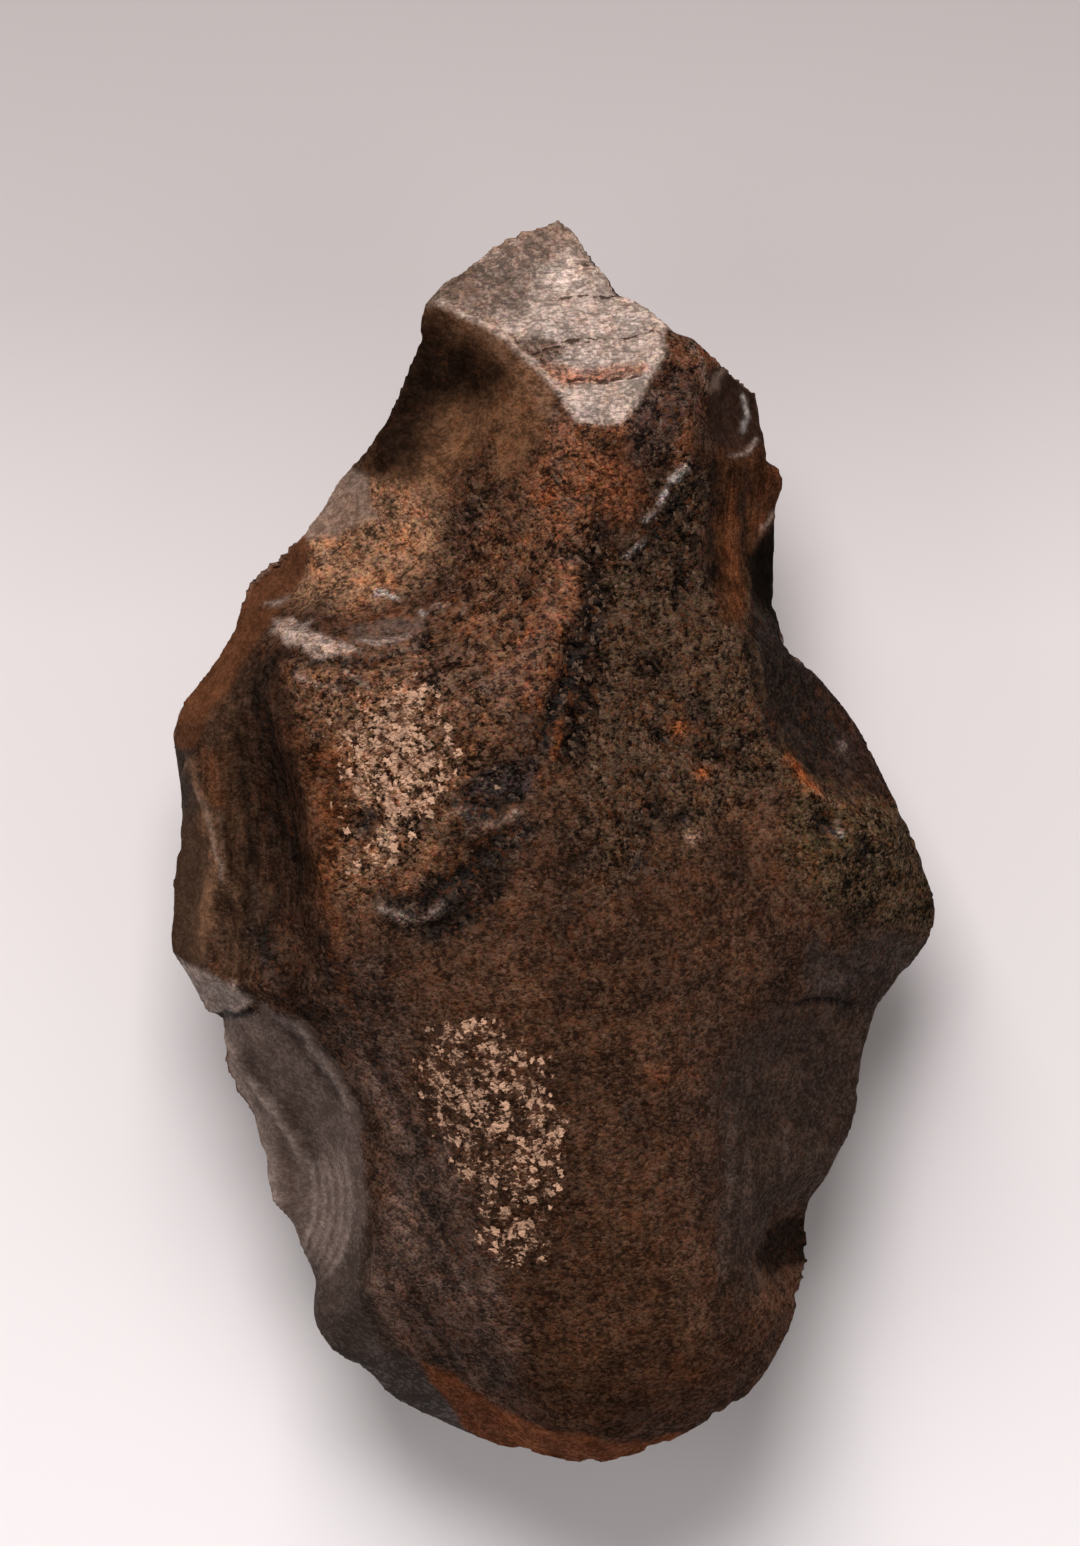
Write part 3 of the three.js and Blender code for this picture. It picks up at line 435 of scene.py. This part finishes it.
class Skin:
    """The stone's surface as arrays: every vertex's place and facing, in millimetres."""

    def __init__(self, mesh):
        count = len(mesh.vertices)
        place = np.empty(count * 3)
        facing = np.empty(count * 3)
        mesh.vertices.foreach_get("co", place)
        mesh.vertices.foreach_get("normal", facing)
        self.place = place.reshape(-1, 3) / MM
        self.facing = facing.reshape(-1, 3)
        self.plan = self.place[:, :2]
        self.front = smoothstep(-0.15, 0.1, self.facing[:, 2])
        self.wander = np.stack([rough(self.place, 4, 11), rough(self.place, 4, 21)], axis=1)

    def inside(self, corners, soft, ragged):
        """1 inside the corners and 0 outside, with an edge that is soft and ragged by so much."""
        spot = self.plan + self.wander * ragged
        edge_gap = np.full(len(spot), 1e9)
        within = np.zeros(len(spot), dtype=bool)
        for start, end in zip(corners, corners[1:] + corners[:1]):
            start, end = np.array(start, float), np.array(end, float)
            run = end - start
            along = np.clip((spot - start) @ run / (run @ run), 0, 1)
            edge_gap = np.minimum(edge_gap, np.linalg.norm(spot - start - along[:, None] * run, axis=1))
            if start[1] != end[1]:
                crosses = (spot[:, 1] < start[1]) != (spot[:, 1] < end[1])
                side = start[0] + (spot[:, 1] - start[1]) / run[1] * run[0]
                within ^= crosses & (spot[:, 0] < side)
        return smoothstep(-soft, soft, np.where(within, edge_gap, -edge_gap)) * self.front

    def from_line(self, points, ragged):
        """How far each vertex is from a line of points, and how far along it, from 0 to 1."""
        spot = self.plan + self.wander * ragged
        gap = np.full(len(spot), 1e9)
        along = np.zeros(len(spot))
        for leg, (start, end) in enumerate(zip(points, points[1:])):
            start, end = np.array(start, float), np.array(end, float)
            run = end - start
            part = np.clip((spot - start) @ run / (run @ run), 0, 1)
            off = np.linalg.norm(spot - start - part[:, None] * run, axis=1)
            along = np.where(off < gap, (leg + part) / (len(points) - 1), along)
            gap = np.minimum(gap, off)
        return gap, along


# ------------------------ relief that the solid leaves out


def mound(gap, half_width):
    return np.exp(-((gap / half_width) ** 2))


def area_mark(skin, area):
    """How strongly an area covers each vertex."""
    return skin.inside(area.corners, area.soft, area.ragged) * area.strength


def reach_of(skin, names):
    """1 inside any of the areas of these names."""
    named = [area for area in AREAS if area.name in names]
    return np.max([skin.inside(area.corners, soft=1.5, ragged=1) for area in named], axis=0)


def line_mark(skin, line):
    """How strongly a line shows at each vertex, dying away at its two ends."""
    gap, along = skin.from_line(line.points, ragged=0.8)
    ends = smoothstep(-0.02, 0.12, along) * smoothstep(1.02, 0.88, along)
    return mound(gap, line.half_width) * ends * skin.front


def spot_mark(skin, spot):
    gap = np.linalg.norm(skin.plan + 0.5 * skin.wander - (spot.x, spot.y), axis=1)
    return mound(gap, spot.radius) * skin.front


def ripple_mark(skin):
    """Thin arcs round the place that the blow came from, on one side of it only."""
    offset = skin.plan - RIPPLE_CENTRE
    ring = np.linalg.norm(offset, axis=1) + 0.25 * skin.wander[:, 0]
    turn = np.degrees(np.arctan2(offset[:, 1], offset[:, 0]))
    sweep = smoothstep(RIPPLE_TURN, 0.5 * RIPPLE_TURN, np.abs(turn + 5))
    return sum(mound(ring - radius, 0.45) for radius in RIPPLE_RADII) * sweep * skin.front


def dent_depth(skin, middle, half_width, half_length, heading, depth):
    """The depth of a bowl in plan that ends at a sharp rim."""
    angle = math.radians(heading)
    offset = skin.plan + 0.5 * skin.wander - middle
    along = (offset[:, 0] * math.cos(angle) + offset[:, 1] * math.sin(angle)) / half_length
    across = (offset[:, 1] * math.cos(angle) - offset[:, 0] * math.sin(angle)) / half_width
    return depth * np.sqrt(np.clip(1 - along**2 - across**2, 0, 1)) * skin.front


def tip_steps(skin):
    """Each crack across the tip drops a thin layer of the stone."""
    x, y = skin.plan.T
    wave = sum(size * np.sin(rate * x + start) for size, rate, start in TIP_CRACK_WAVES)
    total = np.zeros(len(x))
    for level, middle, reach in TIP_CRACKS:
        rise = y - level - TIP_CRACK_CLIMB * (x - middle) - wave
        across = smoothstep(reach, 0.7 * reach, np.abs(x - middle))
        total += across * smoothstep(-0.3, 0.3, rise) * smoothstep(4.0, 0.3, rise)
    return total * skin.front


def carve(stone, skin, grain):
    """Moves every vertex along its own normal by the relief at that place."""
    # a broad swell, then lumps and pits on the sandy skin and a gentler swell on the scars
    height = 0.35 * rough(skin.place, 16, 31, 2)
    height += grain * (0.22 * rough(skin.place, 4.2, 41, 2) + 0.20 * rough(skin.place, 1.8, 51, 2))
    height += (1 - grain) * 0.12 * rough(skin.place, 7, 61, 3)
    near, number = pebbles(skin.place, 3.4, 71)
    height -= 0.45 * grain * (number < PIT_SHARE) * smoothstep(0.42, 0.1, near)

    # small nicks where the stone turns sideways, along its margin
    margin = smoothstep(0.6, 0.2, np.abs(skin.facing[:, 2]))
    height -= 0.7 * margin * smoothstep(0.15, 0.5, rough(skin.place, 3.2, 101, 2))

    height -= 0.4 * tip_steps(skin)
    height -= 0.12 * ripple_mark(skin)
    for line in LINES:
        if line.depth:
            height -= line.depth * line_mark(skin, line)
    for spot in SPOTS:
        if spot.depth:
            height -= spot.depth * spot_mark(skin, spot)
    for _, *bowl in DENTS:
        height -= dent_depth(skin, *bowl)
    moved = (skin.place + skin.facing * height[:, None]) * MM
    moved[:, 2] = np.maximum(moved[:, 2], 0)
    stone.data.vertices.foreach_set("co", moved.ravel())
    stone.data.update()


def bend(mesh):
    """How sharply the surface turns at each vertex: above 0 on a ridge, below 0 in a hollow."""
    skin = Skin(mesh)
    count = len(skin.place)
    ends = np.empty(len(mesh.edges) * 2, dtype=np.int32)
    mesh.edges.foreach_get("vertices", ends)
    first, second = ends.reshape(-1, 2).T
    links = np.bincount(first, minlength=count) + np.bincount(second, minlength=count)

    def neighbours(values):
        return (np.bincount(first, values[second], count) + np.bincount(second, values[first], count)) / links

    pull = np.stack([neighbours(skin.place[:, axis]) for axis in range(3)], axis=1) - skin.place
    turn = -np.sum(pull * skin.facing, axis=1)
    for _ in range(3):
        turn = 0.5 * turn + 0.5 * neighbours(turn)
    return turn


# ------------------------ colour, area by area


def linear(tone):
    """A named tone as the shader's own light values."""
    share = np.array(TONES[tone]) / 255
    return np.where(share <= 0.04045, share / 12.92, ((share + 0.055) / 1.055) ** 2.4)


def mix(under, over, amount):
    return under + (over - under) * amount[:, None]


def fibres(skin):
    """Long streaks that fall to the right, from -1 to 1."""
    lean = math.radians(FALL_ANGLE)
    x, y = skin.plan.T
    along = x * math.cos(lean) + y * math.sin(lean)
    across = y * math.cos(lean) - x * math.sin(lean)
    drawn = np.stack([along / FALL_STRETCH, across, np.zeros(len(x))], axis=1)
    return rough(drawn, 2.2, 121)


def finishes(skin):
    """The stone's grain and sheen at each vertex."""
    flaked = smoothstep(0.93, 0.80, -skin.facing[:, 2]) * (1 - skin.front)
    grain = 0.6 - 0.25 * flaked
    sheen = 0.1 + 0.2 * flaked
    for area in AREAS:
        amount = area_mark(skin, area)
        grain += (area.grain - grain) * amount
        sheen += (area.sheen - sheen) * amount
    return grain, sheen, flaked


def paint(skin, grain, flaked, turn):
    """The stone's colour at each vertex, built up as it would be with a brush."""
    tone = np.tile(linear("brown skin"), (len(skin.place), 1))
    tone = mix(tone, linear("warm brown"), 0.35 * smoothstep(-0.4, 0.6, rough(skin.place, 9, 81)))

    # the hidden side, in the same tones
    hidden = 1 - skin.front
    tone = mix(tone, linear("back brown"), hidden)
    tone = mix(tone, linear("back scar"), 0.8 * flaked)
    tone = mix(tone, linear("orange brown"), 0.7 * hidden * smoothstep(0.1, 0.5, rough(skin.place, 13, 131)))
    tone = mix(tone, linear("dark brown"), 0.8 * hidden * smoothstep(0.05, 0.5, rough(skin.place, 9, 141)))

    for area in AREAS:
        tone = mix(tone, linear(area.tone), area_mark(skin, area))

    falling = 0.8 * reach_of(skin, FALLING)
    streak = fibres(skin)
    tone = mix(tone, 0.45 * tone, falling * smoothstep(0.0, 0.5, streak))
    tone = mix(tone, 1.6 * tone, falling * smoothstep(0.1, -0.5, streak))

    # dark and light patches; ridges lighter, partly wear and partly a painted highlight; hollows darker as
    # painted shade
    patches = rough(skin.place, 6, 91)
    tone = mix(tone, linear("near black"), 0.6 * grain * smoothstep(0.1, 0.6, patches))
    tone = mix(tone, 1.35 * tone, smoothstep(-0.15, -0.7, patches))
    tone = mix(tone, 1.7 * tone + 0.01, 0.6 * smoothstep(0.02, 0.09, turn))
    tone = mix(tone, 0.45 * tone, smoothstep(-0.015, -0.08, turn))

    # lines that break off here and there, and small marks
    broken = np.clip(0.95 + 1.1 * rough(skin.place, 1.6, 111, 2), 0, 1)
    for line in LINES:
        tone = mix(tone, linear(line.tone), line.strength * broken * line_mark(skin, line))
    for spot in SPOTS:
        tone = mix(tone, linear(spot.tone), spot.strength * spot_mark(skin, spot))
    # pale arcs along the ripples: a painted highlight on their crests
    return mix(tone, linear("pale grey"), 0.6 * np.clip(ripple_mark(skin), 0, 1))


def bare_of(skin):
    """1 where no crystals show: in the dark lines and pits, and round the diagonals."""
    dark = [line.strength * line_mark(skin, line) for line in LINES if line.tone == "near black"]
    dark += [spot.strength * spot_mark(skin, spot) for spot in SPOTS if spot.tone == "near black"]
    dark.append(0.8 * reach_of(skin, BARE))
    return np.clip(np.max(dark, axis=0), 0, 1)


def keep_on(stone, name, *columns):
    """Keeps three columns of numbers on the stone's vertices, for its material to read."""
    layer = stone.data.color_attributes.new(name, "FLOAT_COLOR", "POINT")
    rows = np.stack([*columns, np.ones(len(columns[0]))], axis=1)
    layer.data.foreach_set("color", rows.ravel().astype(np.float32))


# ------------------------ shader helpers


def node(tree, kind, inputs=None, **settings):
    """A shader node with its settings, its inputs given as values or as other nodes' outputs."""
    made = tree.nodes.new("ShaderNode" + kind)
    for name, value in settings.items():
        setattr(made, name, value)
    for socket, value in (inputs or {}).items():
        if isinstance(value, bpy.types.NodeSocket):
            tree.links.new(value, made.inputs[socket])
        else:
            made.inputs[socket].default_value = value
    return made


def calc(tree, operation, first, second=0.0):
    return node(tree, "Math", {0: first, 1: second}, operation=operation).outputs[0]


def times(tree, *values):
    return functools.reduce(functools.partial(calc, tree, "MULTIPLY"), values)


def plus(tree, *values):
    return functools.reduce(functools.partial(calc, tree, "ADD"), values)


def minus(tree, first, second):
    return calc(tree, "SUBTRACT", first, second)


def vector_calc(tree, operation, *values):
    return node(tree, "VectorMath", dict(enumerate(values)), operation=operation).outputs[0]


def scaled(tree, colour, level):
    return node(tree, "VectorMath", {0: colour, "Scale": level}, operation="SCALE").outputs[0]


def between(tree, share, low, high):
    """From low to high, by the share."""
    return node(tree, "Mix", {0: share, 2: low, 3: high}, data_type="FLOAT").outputs[0]


def kept(tree, name):
    """What keep_on left on the stone under this name."""
    return node(tree, "Attribute", attribute_name=name).outputs["Color"]


def parts_of(tree, colour):
    """The three numbers that a colour carries."""
    return node(tree, "SeparateColor", {"Color": colour}).outputs


def remap(tree, value, low, high, to_low=0.0, to_high=1.0):
    inputs = {"Value": value, "From Min": low, "From Max": high, "To Min": to_low, "To Max": to_high}
    return node(tree, "MapRange", inputs, interpolation_type="SMOOTHSTEP").outputs["Result"]


def blend(tree, amount, under, over, mode="MIX"):
    made = node(tree, "Mix", {0: amount, 6: under, 7: over}, data_type="RGBA", blend_type=mode)
    return made.outputs[2]


def shade_of(tone, strength=1.0):
    """A named tone as a colour for a socket."""
    return (*(linear(tone) * strength), 1)


# ------------------------ the stone's material

SAND = 0.6
NUGGET = 1.3
REDDER = (1.25, 0.92, 0.72, 1)
GREYER = (0.78, 0.84, 0.9, 1)

# Noise and grains all over the stone, which its colour, gloss and relief are worked out from.
Patterns = namedtuple("Patterns", "sand_gap tint nugget_gap chosen fine lumps stains across down slant")


def cloud(tree, place, size, detail=2.0, roughness=0.62):
    """Noise with lumps about size across."""
    inputs = {"Vector": place, "Scale": 1 / (size * MM), "Detail": detail, "Roughness": roughness}
    return node(tree, "TexNoise", inputs).outputs


def calmed(tree, value, share):
    """Noise drawn in towards its middle value, to a share of its swing."""
    return plus(tree, times(tree, value, share), 0.5 - 0.5 * share)


def streaks(tree, place, size, stretch, turn=0.0):
    """Noise drawn out to streaks, up and down the axe or turned by so many degrees from that."""
    turned = {"Vector": place, "Rotation": (0, 0, math.radians(turn))}
    turned = node(tree, "Mapping", turned).outputs["Vector"]
    drawn = {"Vector": turned, "Scale": (1, 1 / stretch, 1)}
    drawn = node(tree, "Mapping", drawn).outputs["Vector"]
    return calmed(tree, cloud(tree, drawn, size, roughness=0.65)["Fac"], 0.82)


def grains(tree, cells, size):
    """Packed grains: the distance from the middle of a grain, and three numbers of that grain's own."""
    packed = node(tree, "TexVoronoi", {"Vector": cells, "Scale": 1 / (size * MM)}).outputs
    return packed["Distance"], parts_of(tree, packed["Color"])


def stone_patterns(tree, place):
    # the grains lie askew, so their cells are pushed about before they are drawn
    push = 1.5 * MM
    askew = cloud(tree, place, 0.8, 1.0)["Fac"]
    cells = vector_calc(tree, "MULTIPLY_ADD", askew, (push, -push, push), place)
    return Patterns(
        *grains(tree, cells, SAND),
        *grains(tree, cells, NUGGET),
        fine=streaks(tree, place, 0.42, 1.8, 78),
        lumps=calmed(tree, cloud(tree, place, 2.2, 4.0, 0.72)["Fac"], 0.9),
        stains=cloud(tree, place, 7.0, 4.0, 0.66)["Fac"],
        across=streaks(tree, place, 0.55, 5.0, 90),
        down=streaks(tree, place, 1.3, 9.0),
        slant=streaks(tree, place, 1.4, 3.5, 66),
    )


def grain_worth(tree, patterns):
    """How light each grain is beside its neighbours, about 0 for a middling one."""
    worth = 0.0
    weights = ((patterns.tint[0], 0.45), (patterns.fine, 2.0), (patterns.lumps, 1.6), (patterns.stains, 0.7))
    for source, weight in weights:
        worth = plus(tree, times(tree, minus(tree, source, 0.5), weight), worth)
    return minus(tree, worth, remap(tree, patterns.sand_gap, 0.5, 0.9, 0.0, 0.25))


def lit_and_shaded(tree, tone, worth, grain, upright, slanted, patterns):
    """The painted tone, with every grain and every layer a little lighter or darker."""
    speckle = remap(tree, worth, -0.5, 0.6, 0.02, 2.4)
    quiet = remap(tree, worth, -0.6, 0.6, 0.72, 1.3)
    level = between(tree, grain, quiet, speckle)
    upright_part = times(tree, minus(tree, patterns.down, 0.5), upright, 3.2)
    slanted_part = times(tree, minus(tree, patterns.slant, 0.5), slanted, 2.8)
    level = times(tree, level, plus(tree, upright_part, slanted_part, 1.0))
    return scaled(tree, tone, calc(tree, "MAXIMUM", level, 0.08))


def in_hues(tree, colour, grain, place, patterns):
    """Grains and patches of them differ in hue. A few are rusty; a few pale, partly as painted glints."""
    hues = cloud(tree, place, 0.7, roughness=0.7)["Color"]
    hues = vector_calc(tree, "MULTIPLY_ADD", hues, (0.87,) * 3, (0.565,) * 3)
    colour = blend(tree, grain, colour, vector_calc(tree, "MULTIPLY", colour, hues))
    patch = cloud(tree, place, 3.2, 3.0, 0.7)["Fac"]
    colour = blend(tree, times(tree, remap(tree, patch, 0.5, 0.64), grain, 0.8), colour, REDDER, "MULTIPLY")
    colour = blend(tree, times(tree, remap(tree, patch, 0.48, 0.36), grain, 0.8), colour, GREYER, "MULTIPLY")
    stained = remap(tree, patterns.stains, 0.42, 0.6)
    rusty = times(tree, remap(tree, patterns.tint[1], 0.80, 0.86), stained, grain, 0.5)
    colour = blend(tree, rusty, colour, shade_of("rust"))
    # pale grains, partly painted glints
    bright = times(tree, remap(tree, patterns.tint[1], 0.12, 0.06), grain, grain, 0.4)
    return blend(tree, bright, colour, shade_of("crystal", 0.5))


def with_crystals(tree, colour, crystals, patterns):
    """Pale crystals in clusters: small ones packed together, and larger ragged nuggets among them."""
    packed = plus(tree, times(tree, patterns.tint[2], 0.30), patterns.lumps, times(tree, patterns.fine, 0.5))
    wanted = minus(tree, 1.24, times(tree, crystals, 0.34))
    small = remap(tree, minus(tree, packed, wanted), 0.0, 0.2)
    small = times(tree, small, remap(tree, crystals, 0.0, 0.1))
    chance = minus(tree, minus(tree, times(tree, crystals, 0.7), 0.25), patterns.chosen[0])
    ragged = minus(tree, times(tree, patterns.fine, 1.2), patterns.nugget_gap)
    large = times(tree, remap(tree, chance, 0.0, 0.05), remap(tree, ragged, 0.05, 0.2))
    shown = calc(tree, "MAXIMUM", small, large)
    paleness = plus(tree, times(tree, patterns.chosen[1], 0.5), patterns.fine)
    pale = scaled(tree, shade_of("crystal")[:3], remap(tree, paleness, 0.2, 1.1, 0.4, 1.4))
    return blend(tree, times(tree, shown, 0.9), colour, pale)


def tip_cracks(tree, place):
    """Dark hairlines where the bedding breaks across the tip, 1 on a line."""
    split = node(tree, "SeparateXYZ", {"Vector": place}).outputs
    x, y = (calc(tree, "DIVIDE", split[axis], MM) for axis in ("X", "Y"))
    wave = 0.0
    for size, rate, start in TIP_CRACK_WAVES:
        angle = plus(tree, times(tree, x, rate), start)
        wave = plus(tree, times(tree, calc(tree, "SINE", angle), size), wave)
    thick = remap(tree, cloud(tree, place, 1.6)["Fac"], 0.35, 0.65, -0.15, 0.3)
    jitter = times(tree, minus(tree, cloud(tree, place, 1.2)["Fac"], 0.5), 1.2)
    shown = 0.0
    for level, middle, reach in TIP_CRACKS:
        aside = minus(tree, x, middle)
        rise = minus(tree, minus(tree, y, level), times(tree, aside, TIP_CRACK_CLIMB))
        gap = calc(tree, "ABSOLUTE", minus(tree, minus(tree, rise, wave), jitter))
        line = remap(tree, minus(tree, gap, thick), 0.15, -0.05)
        within = remap(tree, calc(tree, "ABSOLUTE", aside), reach, 0.8 * reach)
        shown = calc(tree, "MAXIMUM", times(tree, line, within), shown)
    return shown


def layered_tip(tree, colour, bedded, place, patterns):
    """Thin dark layers across the tip, and its cracks."""
    thin = times(tree, remap(tree, patterns.across, 0.52, 0.36), bedded, 0.6)
    colour = blend(tree, thin, colour, shade_of("grey pink", 0.5))
    cracks = times(tree, tip_cracks(tree, place), remap(tree, bedded, 0.3, 0.6), 0.85)
    return blend(tree, cracks, colour, shade_of("dark brown"))


def tooth(tree, grain, bedded, patterns):
    """The relief that is too fine for the mesh: domed grains, fine streaks, lumps and thin layers."""
    dome = times(tree, remap(tree, patterns.sand_gap, 0.8, 0.0), grain, 0.8)
    fine = times(tree, patterns.fine, remap(tree, grain, 0, 1, 0.3, 1.1))
    lumps = times(tree, patterns.lumps, remap(tree, grain, 0, 1, 0.3, 2.2))
    height = plus(tree, dome, fine, lumps, times(tree, patterns.across, bedded, 1.4))
    relief = node(tree, "Bump", {"Height": height, "Strength": 1.0, "Distance": TOOTH_DEPTH * MM})
    return relief.outputs["Normal"]


def stone_material():
    """Sandstone hard as glass: packed grains on the skin, a tight dull polish on the flake scars."""
    material = bpy.data.materials.new("quartzite")
    material.use_nodes = True
    tree = material.node_tree
    shader = tree.nodes["Principled BSDF"].inputs
    place = node(tree, "TexCoord").outputs["Object"]
    grain, crystals, sheen = parts_of(tree, kept(tree, "finish"))
    bedded, upright, slanted = parts_of(tree, kept(tree, "layers"))
    patterns = stone_patterns(tree, place)
    worth = grain_worth(tree, patterns)

    colour = lit_and_shaded(tree, kept(tree, "tone"), worth, grain, upright, slanted, patterns)
    colour = in_hues(tree, colour, grain, place, patterns)
    colour = with_crystals(tree, colour, crystals, patterns)
    colour = layered_tip(tree, colour, bedded, place, patterns)
    tree.links.new(colour, shader["Base Color"])

    dullness = remap(tree, patterns.tint[2], 0, 1, 0.55, 0.95)
    tree.links.new(between(tree, grain, 0.55, dullness), shader["Roughness"])
    glint = remap(tree, worth, -0.1, 0.3, 0.5, 1.5)
    tree.links.new(times(tree, sheen, glint), shader["Coat Weight"])
    tree.links.new(tooth(tree, grain, bedded, patterns), shader["Normal"])
    shader["Specular IOR Level"].default_value = 0.0
    shader["Coat Roughness"].default_value = 0.42
    return material


# ------------------------ the stone


def select_only(piece):
    bpy.ops.object.select_all(action="DESELECT")
    piece.select_set(True)
    bpy.context.view_layer.objects.active = piece


def apply_modifier(piece, kind, **settings):
    """Adds a modifier with these settings and applies it."""
    modifier = piece.modifiers.new(kind.title(), kind)
    for name, value in settings.items():
        setattr(modifier, name, value)
    select_only(piece)
    bpy.ops.object.modifier_apply(modifier=modifier.name)


def stone_blank():
    """The solid's form as one smooth skin, with its flaked ridges kept crisp."""
    blank = bpy.data.objects.new("axe_stone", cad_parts["hand_axe"].data.copy())
    bpy.context.scene.collection.objects.link(blank)
    select_only(blank)
    bpy.ops.object.mode_set(mode="EDIT")
    bpy.ops.mesh.select_mode(type="EDGE")
    bpy.ops.mesh.select_all(action="SELECT")
    bpy.ops.mesh.remove_doubles(threshold=0.001 * MM)
    bpy.ops.mesh.select_all(action="DESELECT")
    bpy.ops.mesh.edges_select_sharp(sharpness=math.radians(RIDGE_ANGLE))
    bpy.ops.transform.edge_crease(value=RIDGE_CREASE)
    bpy.ops.object.mode_set(mode="OBJECT")
    apply_modifier(blank, "SUBSURF", levels=2, render_levels=2)
    apply_modifier(blank, "REMESH", mode="VOXEL", voxel_size=VOXEL * MM)
    apply_modifier(blank, "SMOOTH", factor=0.5, iterations=2)
    thin_back(blank)
    return blank


def thin_back(blank):
    """Leaves the underside with fewer faces, since its relief is plainer."""
    facing = np.empty(len(blank.data.polygons) * 3)
    blank.data.polygons.foreach_get("normal", facing)
    bpy.ops.object.mode_set(mode="EDIT")
    bpy.ops.mesh.select_mode(type="FACE")
    bpy.ops.mesh.select_all(action="DESELECT")
    bpy.ops.object.mode_set(mode="OBJECT")
    blank.data.polygons.foreach_set("select", facing[2::3] < BACK_FACING)
    bpy.ops.object.mode_set(mode="EDIT")
    bpy.ops.mesh.decimate(ratio=BACK_SHARE)
    bpy.ops.object.mode_set(mode="OBJECT")


stone = stone_blank()
skin = Skin(stone.data)
grain, sheen, flaked = finishes(skin)
carve(stone, skin, grain)
tone = paint(skin, grain, flaked, bend(stone.data))
crystals = [share * skin.inside(corners, soft, ragged=2) for _, share, soft, corners in CRYSTALS]
crystals = np.max(crystals, axis=0) * (1 - bare_of(skin))
keep_on(stone, "tone", *tone.T)
keep_on(stone, "finish", grain, crystals, sheen)
keep_on(stone, "layers", reach_of(skin, BEDDED), reach_of(skin, UPRIGHT), reach_of(skin, SLANTED))
stone.data.materials.clear()
stone.data.materials.append(stone_material())
select_only(stone)
bpy.ops.object.shade_smooth()
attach(stone, "root")
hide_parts("hand_axe")


# ------------------------ table, lights and camera


# The paper's colour at heights up the table, in millimetres, with a painted light falloff to the top.
PAPER_WITH_PAINTED_FALLOFF = [
    (-110, (0.92, 0.86, 0.86)),
    (-30, (0.80, 0.735, 0.735)),
    (30, (0.72, 0.655, 0.65)),
    (80, (0.50, 0.45, 0.445)),
    (130, (0.40, 0.355, 0.35)),
]


def table_top():
    """Pale paper, painted a little darker towards the top as a painted light falloff."""
    bpy.ops.object.select_all(action="DESELECT")
    bpy.ops.mesh.primitive_plane_add(size=6, location=(0, 0, 0))
    table = bpy.context.active_object
    table.name = "table_top"
    paper = bpy.data.materials.new("table_paper")
    paper.use_nodes = True
    tree = paper.node_tree
    shader = tree.nodes["Principled BSDF"].inputs
    shader["Roughness"].default_value = 0.9
    shader["Specular IOR Level"].default_value = 0.1
    place = node(tree, "TexCoord").outputs["Object"]
    rise = node(tree, "SeparateXYZ", {"Vector": place}).outputs["Y"]
    low, high = PAPER_WITH_PAINTED_FALLOFF[0][0], PAPER_WITH_PAINTED_FALLOFF[-1][0]
    fade = {"Value": rise, "From Min": low * MM, "From Max": high * MM}
    ramp = node(tree, "ValToRGB", {"Fac": node(tree, "MapRange", fade).outputs["Result"]})
    stops = ramp.color_ramp.elements
    stops.remove(stops[1])
    stops[0].color = (*PAPER_WITH_PAINTED_FALLOFF[0][1], 1)
    for height, colour in PAPER_WITH_PAINTED_FALLOFF[1:]:
        stops.new((height - low) / (high - low)).color = (*colour, 1)
    tree.links.new(ramp.outputs["Color"], shader["Base Color"])
    table.data.materials.append(paper)


def softbox(name, place, size, power, colour=(1, 1, 1)):
    """A square softbox at place, turned to face the stone."""
    lamp = bpy.data.lights.new(name, "AREA")
    lamp.shape = "SQUARE"
    lamp.size = size
    lamp.energy = power
    lamp.color = colour
    box = bpy.data.objects.new(name, lamp)
    box.location = place
    box.rotation_euler = (Vector((0, 0, 0.02)) - Vector(place)).to_track_quat("-Z", "Y").to_euler()
    box.visible_camera = False
    bpy.context.scene.collection.objects.link(box)


def camera_above():
    """Straight above with a long lens, so that the stone's margin fills the frame as it should."""
    distance, margin_height, frame_height = 1.1, 0.022, 0.2232
    lens = bpy.data.cameras.new("camera")
    lens.lens = lens.sensor_width * distance / frame_height
    lens.clip_end = 20
    camera = bpy.data.objects.new("camera", lens)
    camera.location = (-0.002, 0.0096, margin_height + distance)
    bpy.context.scene.collection.objects.link(camera)
    bpy.context.scene.camera = camera


table_top()
softbox("key_softbox", (-0.14, 0.84, 0.86), 0.8, 19)
softbox("left_fill", (-1.1, -0.2, 0.6), 0.8, 4)
softbox("right_fill", (1.1, -0.4, 0.6), 0.8, 4)
world = bpy.data.worlds.new("studio")
world.use_nodes = True
world.node_tree.nodes["Background"].inputs["Color"].default_value = (1, 0.985, 0.98, 1)
world.node_tree.nodes["Background"].inputs["Strength"].default_value = 0.16
bpy.context.scene.world = world
bpy.context.scene.view_settings.view_transform = "Standard"
camera_above()
